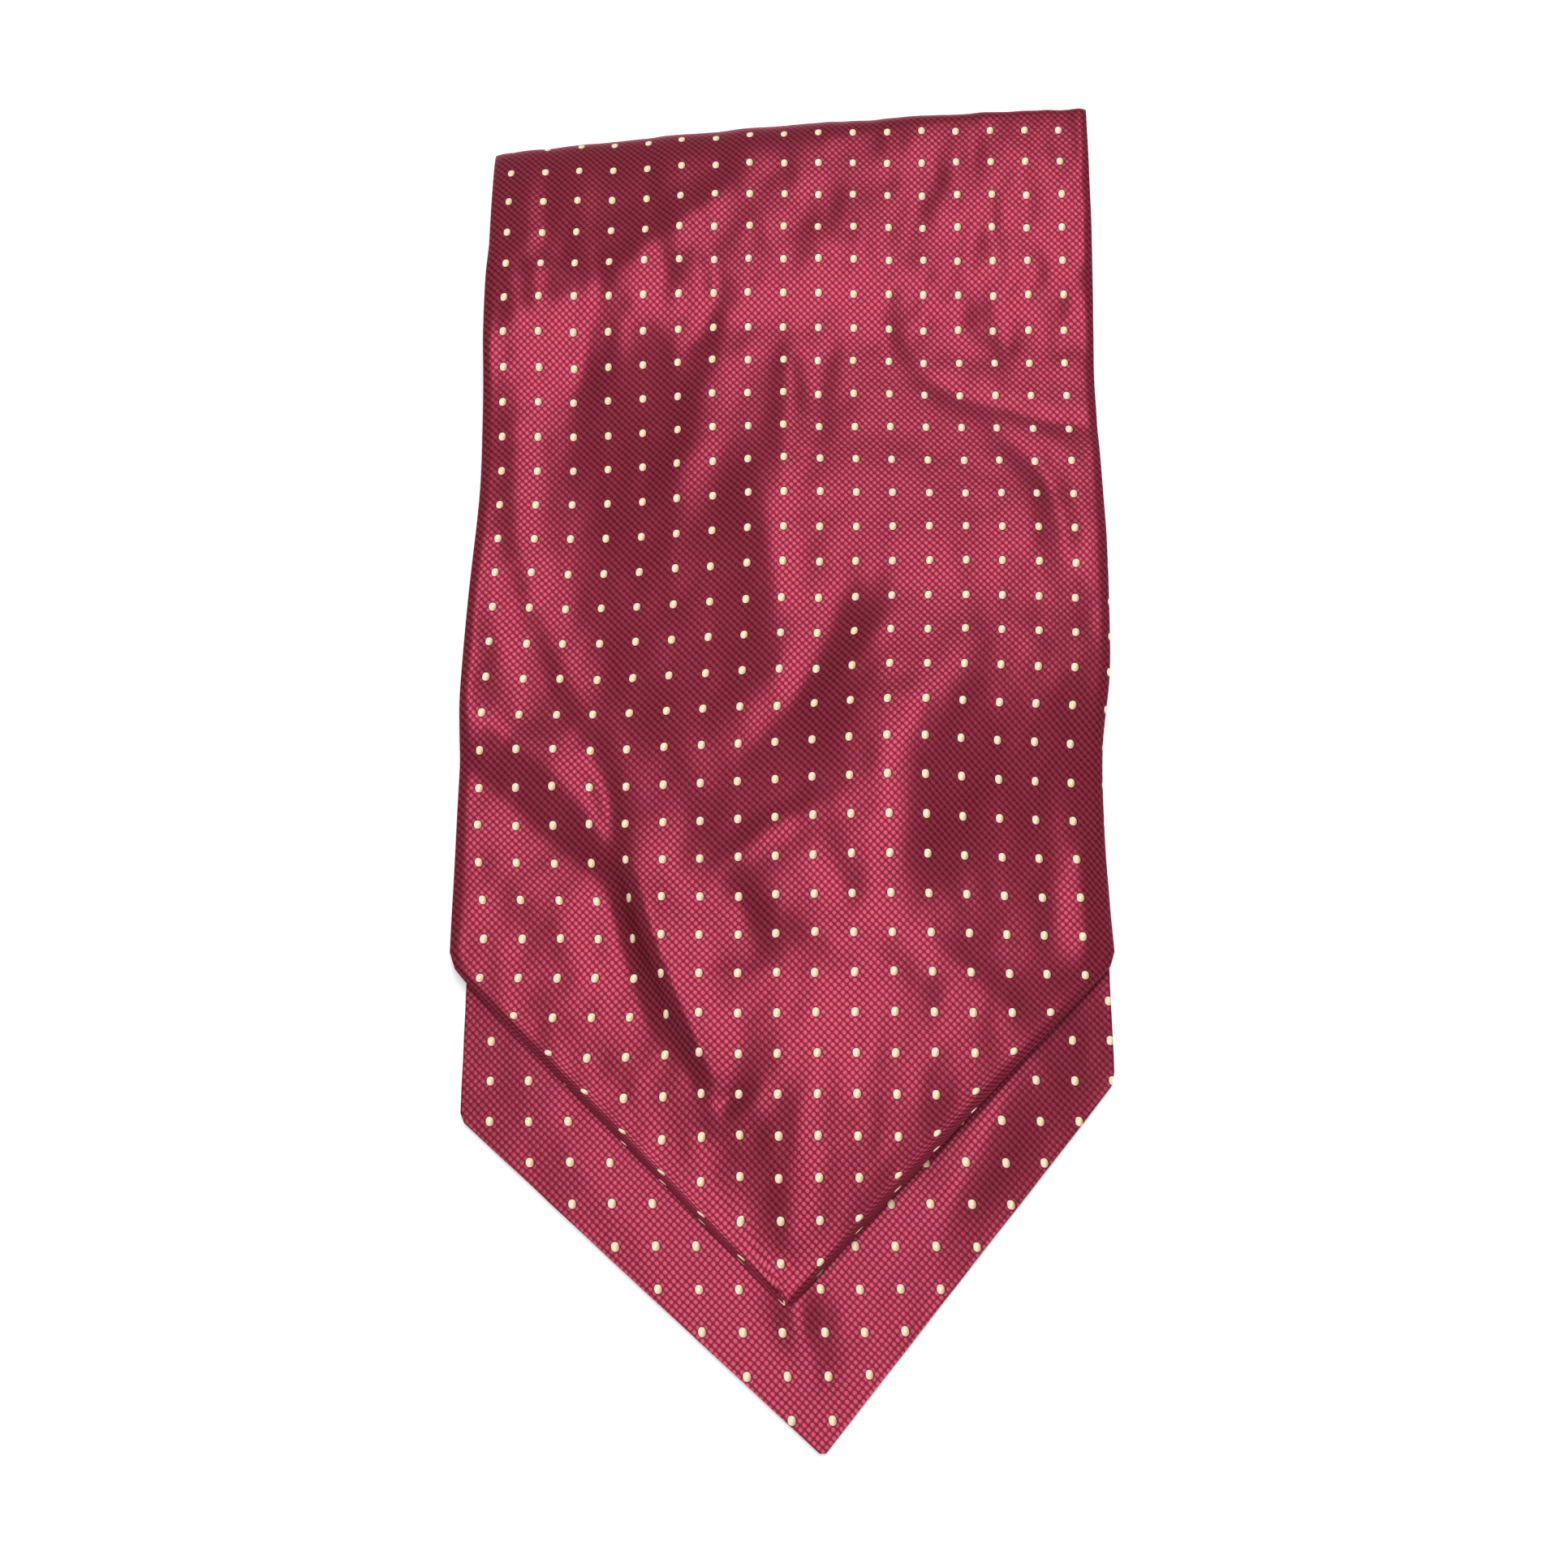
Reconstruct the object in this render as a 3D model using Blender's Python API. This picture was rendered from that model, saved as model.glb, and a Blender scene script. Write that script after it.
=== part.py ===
"""Silk cravat, folded and lying flat with its two pointed blades on each other.

The front blade lies on top, wraps round the fold at the far end and turns back below.
The back blade lies on the table, and its own point shows past the front blade's point.
The pleated neckband and the narrowing ends of the blades are folded up between them.
X runs across the blades, +Y from the points to the fold, +Z up from the table.
All sizes below are in millimetres. The origin is under the middle, on the table.
"""

from collections import namedtuple

import bmesh
import bpy
import numpy as np

MM = 0.001

# Cloth and clearances
WALL = 1.6
GAP = 0.3
ROUND_OUT = 0.6

# Folded end: the front blade's turned edge outside, the back blade's inside
TURN_DEPTH_LEFT = 30.0
TURN_DEPTH_RIGHT = 8.0
TURN_BOW = 2.5
TURN_BOW_ROWS = 1.5
BACK_TURN_DEPTH = 4.0
BACK_TURN_TOP = 2 * WALL + 3 * GAP
FRONT_RETURN_BOTTOM = BACK_TURN_TOP + GAP
FRONT_RETURN_LENGTH = 18.0
BACK_RETURN_LENGTH = 28.0
# Moves the sizes below so that the origin is under the middle of the whole
CENTRE_Y = 0.9

# Front blade's height: never below what it lies on
REST_HEIGHT = 2 * WALL + GAP + 0.3
REST_BLEND = 0.4
BAND_REST_END = -104.0
BAND_REST_RUN = 14.0

# Hidden layers between the blades
BAND_LAST_ROW = 0.9
BAND_INSET_COLUMNS = 2
BAND_LAYERS = 3
BAND_GROOVE = 1.5
BAND_LEAST_HEIGHT = 0.6

# Grids
FRONT_COLUMNS = 27
BACK_COLUMNS = 15
TURN_STEPS = 7
FRONT_STATIONS = 42
SHOULDER_STATIONS = (1, 1)
POINT_STATIONS = 15
BACK_STATIONS = (5, 7, 8, 1, 10)

# Cross sections of the front blade from the crest of its folded end to its shoulders.
# The heights are at seven even places from the left edge to the right edge.
Section = namedtuple("Section", "left_x left_y right_x right_y heights")
FRONT_SECTIONS = (
    Section(-77.6, 128, 79.0, 161, (15.0, 15.4, 16.8, 17.8, 18.6, 19.6, 20.4)),
    Section(-78.2, 116, 79.2, 125, (14.6, 15.6, 16.6, 16.8, 16.2, 15.8, 16.6)),
    Section(-78.2, 103, 79.1, 105, (13.4, 12.0, 13.0, 13.6, 12.2, 11.8, 14.0)),
    Section(-78.0, 90, 78.7, 90, (11.0, 9.4, 12.2, 13.2, 11.6, 10.2, 11.8)),
    Section(-77.9, 76, 78.8, 76, (8.6, 8.0, 11.6, 13.4, 12.4, 11.0, 12.4)),
    Section(-77.8, 61, 79.1, 61, (7.6, 7.2, 11.0, 13.8, 13.0, 12.2, 14.0)),
    Section(-78.4, 45, 79.3, 45, (8.0, 6.6, 10.2, 13.4, 13.4, 13.2, 14.6)),
    Section(-79.2, 28, 79.2, 28, (7.4, 6.2, 9.2, 12.4, 15.0, 14.8, 15.0)),
    Section(-79.6, 9, 78.4, 9, (7.6, 6.2, 9.2, 13.0, 17.2, 16.0, 13.4)),
    Section(-79.6, -9, 76.4, -9, (6.4, 6.8, 9.8, 13.6, 18.2, 14.4, 9.4)),
    Section(-79.4, -28, 76.2, -28, (5.8, 5.8, 9.0, 12.8, 16.2, 11.4, 6.8)),
    Section(-79.4, -45, 76.6, -45, (5.6, 5.0, 8.4, 11.6, 13.2, 10.2, 6.2)),
    Section(-79.4, -59, 77.0, -59, (5.6, 5.0, 8.4, 11.8, 12.8, 10.4, 7.0)),
)
# The front blade's rounded shoulders
FRONT_SHOULDERS = (
    FRONT_SECTIONS[-1],
    Section(-78.0, -63.0, 75.8, -62.6, (5.5, 5.0, 8.4, 11.8, 12.8, 10.4, 7.2)),
    Section(-75.6, -65.8, 73.2, -65.4, (5.4, 5.0, 8.6, 11.8, 12.8, 10.6, 7.2)),
)
# The front blade's point, on straight edges
FRONT_POINT = (
    FRONT_SHOULDERS[-1],
    Section(-57.0, -84.2, 55.1, -83.9, (5.0, 5.2, 8.0, 10.8, 11.4, 10.8, 7.4)),
    Section(-38.3, -102.6, 37.0, -102.4, (4.7, 5.2, 6.2, 6.8, 7.0, 7.2, 6.0)),
    Section(-19.6, -121.0, 18.9, -120.9, (4.0, 4.1, 4.3, 4.4, 4.4, 4.4, 4.2)),
    Section(-0.9, -139.3, 0.9, -139.3, (3.8, 3.8, 3.8, 3.8, 3.8, 3.8, 3.8)),
)
# The back blade from the crest of its folded end to its point, flat on the table
FLAT = (WALL,) * 7
BACK_SECTIONS = (
    Section(-75.8, 150.0, 78.0, 162.0, FLAT),
    Section(-76.0, 100.0, 77.0, 100.0, FLAT),
    Section(-76.0, 0.0, 76.0, 0.0, FLAT),
    Section(-75.6, -96.0, 76.2, -86.5, FLAT),
    Section(-74.6, -98.4, 75.6, -89.6, FLAT),
    Section(7.1, -170.7, 8.5, -170.7, FLAT),
)

# The largest folds. The points run along the crest or the trough. "near" is the width
# on the right hand of that run and "far" the width on its left hand. A height below
# zero is a trough. A soft of 1 is a round crest and 0 a sharp one.
FoldPoint = namedtuple("FoldPoint", "x y height near far")
Fold = namedtuple("Fold", "name soft points")
FOLDS = (
    Fold("edge of the layers below", 0.7, (
        FoldPoint(-80, 14, 0.6, 10, 14),
        FoldPoint(-66, 3, 1.4, 9, 14),
        FoldPoint(-55, -9, 1.6, 9, 14),
        FoldPoint(-45, -22, 1.8, 9, 15),
        FoldPoint(-38, -36, 2.6, 9, 20),
        FoldPoint(-34, -50, 3.8, 9, 28),
        FoldPoint(-28, -64, 3.8, 9, 30),
        FoldPoint(-20, -79, 2.8, 9, 26),
        FoldPoint(-10, -94, 0.0, 8, 14),
    )),
    Fold("hollow beside that edge", 0.5, (
        FoldPoint(-80, -12, -0.6, 12, 8),
        FoldPoint(-66, -24, -1.0, 12, 8),
        FoldPoint(-56, -36, -0.8, 14, 7),
        FoldPoint(-47, -48, -0.6, 16, 7),
        FoldPoint(-41, -60, -0.8, 16, 7),
        FoldPoint(-34, -74, -1.0, 14, 7),
        FoldPoint(-25, -88, 0.0, 10, 7),
    )),
    Fold("crease at the right edge", 0.3, (
        FoldPoint(36, 92, 0.0, 10, 5),
        FoldPoint(50, 84, 0.8, 14, 5),
        FoldPoint(64, 77, 1.2, 14, 5),
        FoldPoint(80, 74, 1.2, 14, 5),
    )),
    Fold("low trough on the upper left", 0.5, (
        FoldPoint(-52, 112, 0.0, 10, 10),
        FoldPoint(-48, 96, -1.2, 10, 12),
        FoldPoint(-50, 78, -1.0, 12, 12),
        FoldPoint(-54, 60, -0.6, 11, 12),
        FoldPoint(-58, 44, 0.0, 8, 10),
    )),
    Fold("low ridge above the middle", 0.6, (
        FoldPoint(-3, 76, 0.0, 9, 8),
        FoldPoint(-6, 54, 1.0, 14, 9),
        FoldPoint(-4, 34, 1.0, 14, 10),
        FoldPoint(-3, 14, 0.7, 14, 8),
        FoldPoint(-5, 0, 0.0, 9, 8),
    )),
    Fold("trough beside the high middle", 0.5, (
        FoldPoint(18, 36, 0.0, 7, 8),
        FoldPoint(13, 24, -1.0, 9, 12),
        FoldPoint(5, 6, -1.2, 10, 16),
        FoldPoint(-6, -8, -0.9, 10, 16),
        FoldPoint(-20, -18, 0.0, 8, 12),
    )),
)
CURVE_STEPS = 5
FOLD_BLEND = 0.3
FOLD_BLEND_GROWTH = 0.25


def across(count):
    """Column positions from -1 at the left edge to +1 at the right, closer at the edges."""
    even = np.linspace(-1.0, 1.0, count)
    return 1.12 * even - 0.12 * even ** 3


def flat_rows(sections):
    """A table's rows as plain numbers: two ends and seven heights."""
    return np.array([(*section[:4], *section.heights) for section in sections], float)


def smooth_curve(rows, at, level_start):
    """Rows read from a smooth curve through the rows given."""
    tangent = np.zeros_like(rows)
    tangent[1:-1] = (rows[2:] - rows[:-2]) / 2
    tangent[-1] = rows[-1] - rows[-2]
    tangent[0] = rows[1] - rows[0]
    if level_start:
        tangent[0, 4:] = 0.0
    first = np.clip(at.astype(int), 0, len(rows) - 2)
    t = (at - first)[:, None]
    start = (2 * t ** 3 - 3 * t ** 2 + 1) * rows[first] + (t ** 3 - 2 * t ** 2 + t) * tangent[first]
    end = (3 * t ** 2 - 2 * t ** 3) * rows[first + 1] + (t ** 3 - t ** 2) * tangent[first + 1]
    return start + end


def straight_sections(sections, counts):
    """Sections on straight lines between the rows, with a count for each interval."""
    rows = flat_rows(sections)
    found = []
    for first, last, count in zip(rows[:-1], rows[1:], counts):
        for step in range(count):
            found.append(first + (last - first) * (step + 1) / count)
    return np.array(found)


def curve_through(points):
    """A smooth curve through a fold's points, with their heights and widths."""
    rows = np.array(points, float)
    rows = np.vstack([2 * rows[0] - rows[1], rows, 2 * rows[-1] - rows[-2]])
    found = []
    for before, first, last, after in zip(rows, rows[1:], rows[2:], rows[3:]):
        for step in range(CURVE_STEPS):
            t = step / CURVE_STEPS
            bend = 2 * before - 5 * first + 4 * last - after
            sway = 3 * first - before - 3 * last + after
            found.append(first + 0.5 * ((last - before) * t + bend * t ** 2 + sway * t ** 3))
    found.append(rows[-2])
    return found


def fold_height(fold, x, y):
    """Height that one fold adds at each point of the cloth."""
    line = curve_through(fold.points)
    distances = []
    heights = []
    for first, last in zip(line[:-1], line[1:]):
        run_x, run_y = last[0] - first[0], last[1] - first[1]
        t = ((x - first[0]) * run_x + (y - first[1]) * run_y) / (run_x ** 2 + run_y ** 2)
        t = np.clip(t, 0, 1)
        off_x = x - first[0] - t * run_x
        off_y = y - first[1] - t * run_y
        distance = np.hypot(off_x, off_y)
        height, near, far = (first[k] + t * (last[k] - first[k]) for k in (2, 3, 4))
        width = np.where(run_x * off_y - run_y * off_x > 0, far, near)
        q = np.clip(distance / width, 0, 1)
        distances.append(distance)
        heights.append(height * (1 - q) ** 2 * (1 + 2 * fold.soft * q))
    distances = np.array(distances)
    nearest = distances.min(axis=0)
    reach = FOLD_BLEND + FOLD_BLEND_GROWTH * nearest
    weights = np.exp((nearest - distances) / reach)
    return (weights * np.array(heights)).sum(axis=0) / weights.sum(axis=0)


def spread(rows, columns):
    """Points of every section at every column, on a smooth curve through its heights."""
    share = (columns + 1) / 2
    x = rows[:, 0:1] + (rows[:, 2:3] - rows[:, 0:1]) * share
    y = rows[:, 1:2] + (rows[:, 3:4] - rows[:, 1:2]) * share
    heights = rows[:, 4:]
    z = smooth_curve(heights.T, share * (heights.shape[1] - 1), False).T
    return np.stack([x, y, z], axis=-1)


def front_surface():
    """Top of the front blade from the crest of the folded end to the point."""
    at = np.linspace(0.0, len(FRONT_SECTIONS) - 1.0, FRONT_STATIONS)
    main = smooth_curve(flat_rows(FRONT_SECTIONS), at, True)
    shoulders = straight_sections(FRONT_SHOULDERS, SHOULDER_STATIONS)
    at_point = np.linspace(0.0, len(FRONT_POINT) - 1.0, POINT_STATIONS + 1)[1:]
    point = smooth_curve(flat_rows(FRONT_POINT), at_point, False)
    columns = across(FRONT_COLUMNS)
    points = spread(np.vstack([main, shoulders, point]), columns)
    bow = np.zeros(len(points))
    bow[:FRONT_STATIONS] = np.clip(1 - at / TURN_BOW_ROWS, 0, 1) ** 2
    points[..., 1] += TURN_BOW * bow[:, None] * (1 - columns ** 2)
    for fold in FOLDS:
        points[..., 2] += fold_height(fold, points[..., 0], points[..., 1])
    over_band = np.clip((points[..., 1] - BAND_REST_END) / BAND_REST_RUN, 0, 1)
    rest = REST_HEIGHT + BAND_LEAST_HEIGHT * over_band
    over = (points[..., 2] - rest) / REST_BLEND
    points[..., 2] = rest + REST_BLEND * np.logaddexp(0, over)
    past_band = (at_point > BAND_LAST_ROW).sum()
    return points, len(points) - past_band


def turned_edge(crest, depth, bottom, inset):
    """Cloth that wraps from a crest line round the folded end to the level below."""
    half_height = (crest[:, 2] - bottom) / 2
    rows = []
    for step in range(1, TURN_STEPS + 1):
        angle = np.pi / 2 - np.pi * step / TURN_STEPS
        row = crest.copy()
        row[:, 1] += (depth - inset) * np.cos(angle)
        row[:, 2] += -half_height + (half_height - inset) * np.sin(angle)
        rows.append(row)
    return rows


def side_point(outer, inner, direction):
    """Middle of a rounded side, a little outside the last column."""
    point = (outer + inner) / 2
    point[0] += direction * ROUND_OUT
    return point


def cloth_rings(outer_rows, inner_rows):
    """Closed rings round a wall of cloth: outer side, right edge, inner side, left edge."""
    rings = []
    for outer, inner in zip(outer_rows, inner_rows):
        right = side_point(outer[-1], inner[-1], 1)
        left = side_point(outer[0], inner[0], -1)
        rings.append(list(outer) + [right] + list(inner[::-1]) + [left])
    return rings


def blade_rings(surface, depth, turn_bottom, return_length):
    """A blade from the end of its return, round the fold and along to its point."""
    crest = surface[0]
    outer = turned_edge(crest, depth, turn_bottom, 0.0)[::-1]
    inner = turned_edge(crest, depth, turn_bottom, WALL)[::-1]
    slide = np.array([0.0, return_length, 0.0])
    outer = [outer[0] - slide] + outer + list(surface)
    inner = [inner[0] - slide] + inner + list(surface - np.array([0.0, 0.0, WALL]))
    return cloth_rings(outer, inner)


def loft(name, rings, collection, material, turned_from):
    """A closed solid through rings of equal count. Past turned_from the diagonals turn
    over, so that the two sides of a wall, and what lies on it, share their diagonals."""
    mesh_builder = bmesh.new()
    centre = np.array([0.0, CENTRE_Y, 0.0])
    rows = [[mesh_builder.verts.new((point + centre) * MM) for point in ring] for ring in rings]
    count = len(rings[0])
    for first, last in zip(rows[:-1], rows[1:]):
        for k in range(count):
            n = (k + 1) % count
            if k < turned_from:
                mesh_builder.faces.new((first[k], first[n], last[n]))
                mesh_builder.faces.new((first[k], last[n], last[k]))
            else:
                mesh_builder.faces.new((first[k], first[n], last[k]))
                mesh_builder.faces.new((first[n], last[n], last[k]))
    for row in (rows[0], rows[-1]):
        mesh_builder.faces.new(row)
    bmesh.ops.recalc_face_normals(mesh_builder, faces=mesh_builder.faces)
    mesh = bpy.data.meshes.new(name)
    mesh_builder.to_mesh(mesh)
    mesh_builder.free()
    mesh.shade_smooth()
    mesh.materials.append(material)
    made = bpy.data.objects.new(name, mesh)
    collection.objects.link(made)
    return made


def silk(name, colour, roughness):
    """Burgundy silk as a plain Principled material."""
    material = bpy.data.materials.new(name)
    material.use_nodes = True
    shader = material.node_tree.nodes["Principled BSDF"]
    shader.inputs["Base Color"].default_value = (*colour, 1.0)
    shader.inputs["Roughness"].default_value = roughness
    shader.inputs["Metallic"].default_value = 0.0
    return material


def front_blade(collection, surface):
    """The blade on top, with its rounded fold and the part turned back under it."""
    share = (across(FRONT_COLUMNS) + 1) / 2
    depth = TURN_DEPTH_LEFT + (TURN_DEPTH_RIGHT - TURN_DEPTH_LEFT) * share
    rings = blade_rings(surface, depth, FRONT_RETURN_BOTTOM, FRONT_RETURN_LENGTH)
    material = silk("front silk", (0.30, 0.035, 0.085), 0.45)
    return loft("front_blade", rings, collection, material, FRONT_COLUMNS)


def back_blade(collection):
    """The blade on the table, flat below, with its own fold under the front blade's."""
    start = flat_rows(BACK_SECTIONS[:1])
    rows = np.vstack([start, straight_sections(BACK_SECTIONS, BACK_STATIONS)])
    surface = spread(rows, across(BACK_COLUMNS))
    crest = surface[0]
    crest_high = crest.copy()
    crest_high[:, 2] = BACK_TURN_TOP
    outer = turned_edge(crest_high, BACK_TURN_DEPTH, 0.0, 0.0)
    inner = turned_edge(crest_high, BACK_TURN_DEPTH, 0.0, WALL)
    slide = np.array([0.0, BACK_RETURN_LENGTH, 0.0])
    lower = surface - np.array([0.0, 0.0, WALL])
    high_inner = crest_high - np.array([0.0, 0.0, WALL])
    outer = [crest_high - slide, crest_high] + outer[:-1] + list(lower)
    inner = [high_inner - slide, high_inner] + inner[:-1] + list(surface)
    material = silk("back silk", (0.28, 0.032, 0.078), 0.45)
    return loft("back_blade", cloth_rings(outer, inner), collection, material, BACK_COLUMNS)


def layered_side(top, bottom, direction):
    """One side of the hidden layers from top to bottom, with a groove between layers."""
    points = []
    steps = 2 * BAND_LAYERS
    for step in range(1, steps):
        point = top + (bottom - top) * step / steps
        bulge = 0.5 if step % 2 else -0.5
        point[0] += direction * BAND_GROOVE * bulge
        points.append(point)
    return points


def folded_neckband(collection, surface, last_row):
    """The hidden layers between the blades as one solid, layered at its two sides."""
    inset = slice(BAND_INSET_COLUMNS, FRONT_COLUMNS - BAND_INSET_COLUMNS)
    top = surface[1:last_row, inset].copy()
    top[..., 2] -= WALL + GAP
    return_end = surface[0, inset, 1].min() - FRONT_RETURN_LENGTH
    over_return = (top[..., 1].max(axis=1) > return_end)[:, None]
    bottom = top.copy()
    bottom[..., 2] = np.where(over_return, FRONT_RETURN_BOTTOM + WALL + GAP, WALL + GAP)
    top[..., 2] = np.maximum(top[..., 2], bottom[..., 2] + BAND_LEAST_HEIGHT)
    rings = []
    for high, low in zip(top, bottom):
        right = layered_side(high[-1], low[-1], 1)
        left = layered_side(high[0], low[0], -1)
        rings.append(list(high) + right + [low[-1], low[0]] + left[::-1])
    material = silk("hidden silk", (0.22, 0.026, 0.06), 0.5)
    return loft("folded_neckband", rings, collection, material, len(rings[0]))


def main():
    for old in list(bpy.data.objects):
        bpy.data.objects.remove(old, do_unlink=True)
    collection = bpy.data.collections.new("silk cravat")
    bpy.context.scene.collection.children.link(collection)
    surface, last_row = front_surface()
    front_blade(collection, surface)
    back_blade(collection)
    folded_neckband(collection, surface, last_row)


main()
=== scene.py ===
# %% [markdown]
# A silk cravat, folded and laid flat. Its two pointed blades lie on each other, the
# front one higher, and its pleated neckband is folded up between them.
#
# The cloth is burgundy silk woven with a small diamond figure and with raised cream
# dots. The lesson builds each blade from its flat cut, lays it on the layers below with
# the folds of the real one, and weaves the pattern in the cloth's own coordinates, so
# that the dots go up and down with the folds as woven dots do.

# %% Frame
import math
from collections import namedtuple

import bmesh
import bpy
import numpy as np
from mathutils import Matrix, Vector, noise as smooth_noise


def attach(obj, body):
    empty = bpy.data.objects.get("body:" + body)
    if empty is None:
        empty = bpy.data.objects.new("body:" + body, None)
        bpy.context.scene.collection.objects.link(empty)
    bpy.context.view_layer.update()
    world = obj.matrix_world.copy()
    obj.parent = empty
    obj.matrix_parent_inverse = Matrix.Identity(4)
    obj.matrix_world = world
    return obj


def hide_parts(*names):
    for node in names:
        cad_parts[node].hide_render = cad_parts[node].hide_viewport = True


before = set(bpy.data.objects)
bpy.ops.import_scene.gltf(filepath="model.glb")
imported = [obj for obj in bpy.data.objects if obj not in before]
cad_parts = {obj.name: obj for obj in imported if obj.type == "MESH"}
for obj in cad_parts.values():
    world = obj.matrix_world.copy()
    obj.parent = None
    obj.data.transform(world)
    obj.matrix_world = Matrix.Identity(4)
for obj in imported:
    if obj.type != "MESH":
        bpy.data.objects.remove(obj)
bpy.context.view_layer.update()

MM = 0.001

# %% [markdown]
# The sizes of the real thing. A day cravat's blade is nearly 160 mm wide. Its silk is
# doubled over a light lining and pressed, so a blade's wall is about a millimetre and a
# half. All sizes here are in millimetres, and the origin is on the table under the middle.
#
# The folded end isn't square: the turn is deep at its left edge and shallow at its right
# edge, and bows out a little between them. Everything that lies on another layer keeps a
# small gap to it.

# %% Sizes
WALL = 1.6
GAP = 0.3
ROUND_OUT = 0.6
CENTRE_Y = 0.9
TURN_DEPTH_LEFT = 30.0
TURN_DEPTH_RIGHT = 3.5
TURN_FADE = 1.8
TURN_BOW = 2.5
TURN_SQUARENESS = 0.84
TURN_BOW_ROWS = 1.5
BACK_TURN_DEPTH = 4.0
BACK_TURN_TOP = 2 * WALL + 3 * GAP
FRONT_RETURN_BOTTOM = BACK_TURN_TOP + GAP
FRONT_RETURN_LENGTH = 18.0
BACK_RETURN_LENGTH = 28.0
REST_HEIGHT = 2 * (WALL + GAP)
REST_BLEND = 0.4
BAND_REST_END = -104.0
BAND_REST_RUN = 14.0
BAND_LEAST_HEIGHT = 0.6

# %% [markdown]
# A blade's form comes from a few cross sections, from the folded end to the point. Each
# one has its two ends and seven heights at even places from the left edge to the right
# edge. The hump near the folded end and the one right of the middle are the thick pleats
# of the neckband below, which lined silk shows as soft swells. The shoulders are where
# the straight edges turn in to the point, so they have short steps.

# %% Cross sections
Section = namedtuple("Section", "left_x left_y right_x right_y heights")
FRONT_SECTIONS = (
    Section(-77.6, 128, 79.0, 164, (15.0, 15.4, 16.6, 17.3, 18.1, 19.2, 20.4)),
    Section(-78.2, 116, 79.2, 125, (14.6, 15.4, 16.2, 16.3, 16.0, 16.1, 17.0)),
    Section(-78.2, 103, 79.1, 105, (13.4, 12.0, 13.0, 13.6, 13.0, 12.4, 13.2)),
    Section(-78.0, 90, 78.7, 90, (10.4, 9.4, 12.2, 13.2, 12.8, 12.2, 12.4)),
    Section(-77.9, 76, 78.8, 76, (8.2, 8.0, 11.6, 13.4, 13.3, 12.6, 12.8)),
    Section(-77.8, 61, 79.1, 61, (7.6, 7.2, 11.0, 13.9, 14.1, 13.5, 13.6)),
    Section(-78.4, 45, 79.3, 45, (8.0, 6.6, 10.2, 13.6, 14.8, 14.3, 14.3)),
    Section(-79.2, 28, 79.2, 28, (7.4, 6.2, 9.2, 12.4, 15.2, 14.6, 13.2)),
    Section(-79.6, 9, 78.4, 9, (7.6, 6.2, 9.2, 13.0, 17.2, 16.0, 13.4)),
    Section(-79.6, -9, 76.4, -9, (6.4, 6.8, 9.8, 13.6, 18.2, 14.4, 9.4)),
    Section(-79.4, -28, 76.2, -28, (6.2, 5.8, 8.2, 12.8, 16.2, 11.4, 6.8)),
    Section(-79.4, -45, 76.6, -45, (6.3, 5.6, 6.5, 11.4, 13.2, 10.2, 6.2)),
    Section(-79.4, -59, 77.0, -59, (6.3, 5.6, 6.4, 11.6, 12.8, 10.4, 7.0)),
)
FRONT_SHOULDERS = (
    FRONT_SECTIONS[-1],
    Section(-78.0, -63.0, 75.8, -62.6, (6.2, 5.6, 6.4, 11.6, 12.8, 10.8, 7.2)),
    Section(-75.6, -65.8, 73.2, -65.4, (6.0, 5.6, 6.6, 11.6, 12.8, 11.2, 7.6)),
)
FRONT_POINT = (
    FRONT_SHOULDERS[-1],
    Section(-57.0, -84.2, 55.1, -83.9, (4.8, 5.5, 7.6, 10.8, 11.6, 11.7, 11.0)),
    Section(-38.3, -102.6, 37.0, -102.4, (4.1, 4.7, 6.0, 7.6, 8.4, 8.6, 8.6)),
    Section(-19.6, -121.0, 18.9, -120.9, (3.8, 4.1, 4.6, 5.3, 5.8, 6.0, 6.0)),
    Section(-0.9, -139.3, 0.9, -139.3, (3.8, 3.8, 3.8, 3.8, 3.8, 3.8, 3.8)),
)
FLAT = (WALL,) * 7
BACK_SECTIONS = (
    Section(-75.8, 150.0, 78.0, 162.0, FLAT),
    Section(-76.0, 100.0, 77.0, 100.0, FLAT),
    Section(-76.0, 0.0, 76.0, 0.0, FLAT),
    Section(-75.6, -96.0, 76.2, -86.5, FLAT),
    Section(-74.6, -98.4, 75.6, -89.6, FLAT),
    Section(7.1, -170.7, 8.5, -170.7, FLAT),
)

# %% [markdown]
# The folds lie on top of the sections. Each one is a short run of points along its crest
# or its trough with a height there and the width of its two flanks: "near" on the right
# hand of the run, "far" on the left hand. "soft" says how round its top is. The first six
# are the large ones, which the plain solids have too; the others are the finer creases of
# soft lined silk. Where two stretches of one run are near, their heights blend, so that
# a bend in a fold stays soft.

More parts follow.
